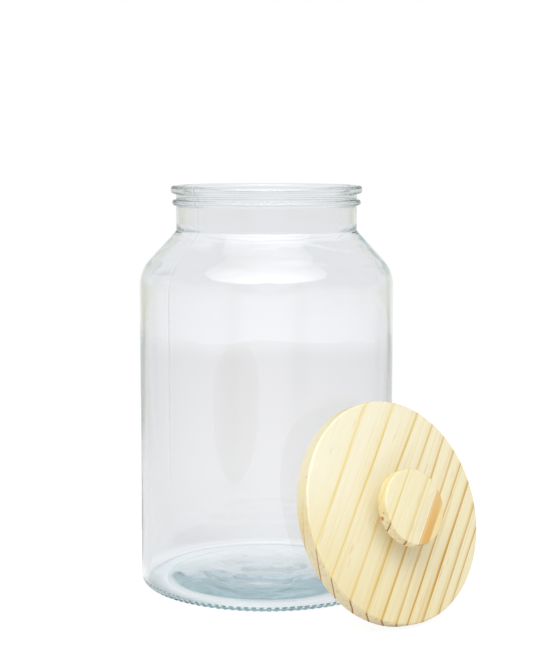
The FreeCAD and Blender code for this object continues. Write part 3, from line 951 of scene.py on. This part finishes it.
def make_floor(sizes):
    """A plain pale floor that ends behind the jar: white to the camera but for a faint shadow, and a plain
    white sheet to the light. The glass sees it white too, glowing with painted light and shade: painted
    shade under the jar's front, brighter under its back and heel, a painted shadow beside the heel on the
    left, greyer far off at the sides, and brighter towards the far edge."""
    edge = JAR_TOP_CORNER.x
    far_edge = sizes.floor_behind
    jar_place = (0.0, sizes.floor_size / 2.0 - far_edge, 0.0)
    paper_to_light, paper_to_camera = (0.85, 0.85, 0.85, 1.0), (0.2, 0.2, 0.2, 1.0)
    glow_to_camera = 0.9
    finish, add = new_finish("paper_white_matt")
    to_camera, sent_on = ray_kinds(add)
    place = add("TexCoord").outputs["Object"]
    from_jar = add("VectorMath", {0: place, 1: jar_place}, operation="SUBTRACT")
    away = add("VectorMath", {0: from_jar}, operation="LENGTH")
    spread = add("SeparateXYZ", {0: from_jar})
    beside, behind = spread.outputs["X"], spread.outputs["Y"]
    sideways = add("Math", {0: beside, 1: away}, operation="DIVIDE")
    sideways = add("Math", {0: sideways}, operation="ABSOLUTE")

    # Two parts of the floor, each where all its fields have run from the first limit past the second: a
    # ring before the heel on the left, which takes a painted shadow of the jar, and a stretch far off at
    # either side, which takes painted grey shade
    parts = []
    for limits in (((behind, 5.0 * MM, -15.0 * MM), (beside, -20.0 * MM, -50.0 * MM),
                    (away, 0.82 * edge, 0.92 * edge), (away, 1.2 * edge, 1.05 * edge)),
                   ((away, 0.3, 0.6), (sideways, 0.36, 0.46), (sideways, 0.66, 0.56))):
        part = 1.0
        for field, first, second in limits:
            part = add("MapRange", {0: field, 1: first, 2: second, 4: part})
        parts.append(part)
    ring, painted_shade_sides = parts

    # Painted light and shade: how bright the glass sees the floor glow, in the open, brighter towards its far
    # edge, then under the jar from the painted shade at its front to its lighter back, under the heel, round
    # the jar and in the ring's painted shadow
    painted_open_glow = add("MapRange", {0: sideways, 1: 0.15, 2: 0.5, 3: 0.52, 4: 0.44})
    painted_far_glow = add("MapRange", {
        0: behind, 1: far_edge - 0.18, 2: far_edge, 4: 0.085}, interpolation_type="SMOOTHSTEP")
    painted_open_glow = add("Math", {0: painted_open_glow, 1: painted_far_glow}, operation="ADD")
    painted_light_and_shade_through = 0.25
    for field, first, second, level in (
            (behind, -16.0 * MM, 2.0 * MM, 0.5), (behind, 18.0 * MM, 32.0 * MM, 0.66),
            (away, 0.68 * edge, 0.78 * edge, 0.62), (away, 0.95 * edge, 1.3 * edge, painted_open_glow),
            (ring, 0.0, 1.0, 0.15)):
        painted_light_and_shade_through = add("MapRange", {0: field, 1: first, 2: second, 3: painted_light_and_shade_through, 4: level})
    # Painted light: the paper that the glass sees is lighter under and round the jar
    paper_painted_lighter = add("MapRange", {0: away, 1: 0.95 * edge, 2: 1.3 * edge, 3: 0.6, 4: 0.45})
    # Painted grey shade in the glow that the glass sees far off at the sides
    painted_side_shade = add("Mix", {0: painted_shade_sides, 6: WHITE, 7: linear("C6C6B6")}, data_type="RGBA")
    surface = add("BsdfDiffuse", {0: paper_to_light})
    for rays, colour, shine, level in ((sent_on, paper_painted_lighter, painted_side_shade, painted_light_and_shade_through),
                                       (to_camera, paper_to_camera, WHITE, glow_to_camera)):
        lit = add("BsdfDiffuse", {0: colour})
        glow = add("Emission", {0: shine, 1: level})
        look = add("AddShader", {0: lit, 1: glow})
        surface = add("MixShader", {0: rays, 1: surface, 2: look})
    add("OutputMaterial", {"Surface": surface})
    form = bmesh.new()
    bmesh.ops.create_grid(form, x_segments=1, y_segments=1, size=sizes.floor_size / 2.0)
    middle = towards_camera(sizes) * (sizes.floor_size / 2.0 - sizes.floor_behind)
    piece = set_down("floor", form, finish,
                     Matrix.Translation(middle) @ Matrix.Rotation(sizes.camera_turn, 4, "Z"))


def make_room(scene, sizes):
    """Even light from all round. It looks white to the camera. Through glass and in gloss it looks like a
    white backdrop, brightest low behind the jar, with the room's greys at either side."""
    room = bpy.data.worlds.new("white_room")
    add = empty_tree(room)
    direction = add("TexCoord").outputs["Generated"]
    rise = add("SeparateXYZ", {0: direction}).outputs["Z"]
    view = towards_camera(sizes)
    sideways = add("VectorMath", {0: direction, 1: (-view.y, view.x, 0.0)}, operation="DOT_PRODUCT")
    backdrop_middle = 0.03
    away = add("Math", {0: sideways, 1: backdrop_middle}, operation="SUBTRACT")
    away = add("Math", {0: away}, operation="ABSOLUTE")
    backdrop = add("ValToRGB", {0: away}, stops=[
        (0.0, linear("FDFEFF")), (0.2, linear("F7F8F9")), (0.3, linear("F3F3F1")), (0.5, linear("DCDCD0"))])
    # The room's greys, each where all its fields have run from the first limit past the second: pale above
    # at the sides, warm low at the sides, and the blue-grey that the shoulder's edges show
    for code, limits in (
            ("E9EBEF", ((away, 0.45, 0.6), (rise, -0.02, 0.08))),
            ("CECEC0", ((rise, -0.09, -0.12), (away, 0.36, 0.46), (away, 0.66, 0.56))),
            ("C3CFD0", ((rise, 0.08, 0.11), (rise, 0.36, 0.3), (away, 0.14, 0.2), (away, 0.38, 0.33)))):
        part = 1.0
        for field, first, second in limits:
            part = add("MapRange", {0: field, 1: first, 2: second, 4: part})
        backdrop = add("Mix", {0: part, 6: backdrop, 7: linear(code)}, data_type="RGBA")
    upper = add("MapRange", {0: away, 1: 0.05, 2: 0.4, 3: 0.86})
    level = add("MapRange", {0: rise, 1: -0.105, 2: -0.05, 3: 1.0, 4: upper})
    to_camera, sent_on = ray_kinds(add)
    surface = add("Background", {0: WHITE, 1: sizes.room_light})
    for rays, colour, strength in ((sent_on, backdrop, level), (to_camera, WHITE, 1.0)):
        look = add("Background", {0: colour, 1: strength})
        surface = add("MixShader", {0: rays, 1: surface, 2: look})
    add("OutputWorld", {"Surface": surface})
    scene.world = room


def make_softbox(sizes):
    """One oval softbox overhead, between the jar and the camera, that fades towards its edge."""
    # Where the lamp is brightest, and how far from there it is full and fades out, as parts of its radius
    bright_place = (0.0, -0.4, 0.0)
    full_within, fades_out, fades_out_in_gloss = 0.3, 2.2, 2.0
    finish, add = new_finish("softbox_cloth")
    place = add("TexCoord").outputs["Object"]
    away = add("VectorMath", {0: place, 1: bright_place}, operation="DISTANCE")
    path = add("LightPath")
    in_gloss, through_glass = path.outputs["Is Glossy Ray"], path.outputs["Is Transmission Ray"]
    level = add("MapRange", {0: in_gloss, 3: sizes.softbox_level, 4: sizes.softbox_look})
    level = add("MapRange", {0: through_glass, 3: level, 4: sizes.softbox_through})
    reach = add("MapRange", {0: in_gloss, 3: fades_out, 4: fades_out_in_gloss})
    fade = add("MapRange", {0: away, 1: reach, 2: full_within, 4: level}, interpolation_type="SMOOTHSTEP")
    glow = add("Emission", {0: WHITE, 1: fade})
    add("OutputMaterial", {"Surface": glow})
    form = bmesh.new()
    bmesh.ops.create_circle(form, cap_ends=True, segments=64, radius=1.0)
    above = towards_camera(sizes) * sizes.softbox_forward + Vector((0.0, 0.0, sizes.softbox_height))
    spread = Matrix.Diagonal((sizes.softbox_width / 2.0, sizes.softbox_depth / 2.0, 1.0, 1.0))
    piece = set_down("softbox", form, finish,
                     Matrix.Translation(above) @ Matrix.Rotation(sizes.camera_turn, 4, "Z") @ spread)


def make_camera(scene, sizes):
    """The camera, level with the jar's rim and looking a little down."""
    data = bpy.data.cameras.new("camera")
    data.lens = sizes.lens
    camera = bpy.data.objects.new("camera", data)
    camera.location = (sizes.camera_distance * math.sin(sizes.camera_turn),
                       -sizes.camera_distance * math.cos(sizes.camera_turn), sizes.camera_height)
    camera.rotation_euler = (math.pi / 2.0 - sizes.camera_tilt, 0.0, sizes.camera_turn)
    scene.collection.objects.link(camera)
    scene.camera = camera


STEPS = (STORAGE_JAR_OT_stage, STORAGE_JAR_OT_glass, STORAGE_JAR_OT_boards, STORAGE_JAR_OT_staves,
         STORAGE_JAR_OT_seal)


class STORAGE_JAR_PT_steps(bpy.types.Panel):
    """Lists the steps that build the jar"""

    bl_idname = "STORAGE_JAR_PT_steps"
    bl_label = "Storage Jar"
    bl_space_type = "VIEW_3D"
    bl_region_type = "UI"
    bl_category = "Storage Jar"

    def draw(self, context):
        for step in STEPS:
            self.layout.operator(step.bl_idname)


GROUPS = {"jar_sizes": JarSizes, "lid_sizes": LidSizes, "jar_finishes": Finishes, "stage_sizes": StageSizes}


def register():
    for group in GROUPS.values():
        bpy.utils.register_class(group)
    for name, group in GROUPS.items():
        setattr(bpy.types.Scene, name, bpy.props.PointerProperty(type=group))
    for step in STEPS:
        bpy.utils.register_class(step)
    bpy.utils.register_class(STORAGE_JAR_PT_steps)


def unregister():
    bpy.utils.unregister_class(STORAGE_JAR_PT_steps)
    for step in STEPS:
        bpy.utils.unregister_class(step)
    for name in GROUPS:
        delattr(bpy.types.Scene, name)
    for group in GROUPS.values():
        bpy.utils.unregister_class(group)


def main():
    register()
    bpy.ops.storage_jar.stage()
    bpy.ops.storage_jar.glass()
    bpy.ops.storage_jar.boards()
    bpy.ops.storage_jar.staves()
    bpy.ops.storage_jar.seal()


if __name__ == "__main__":
    main()
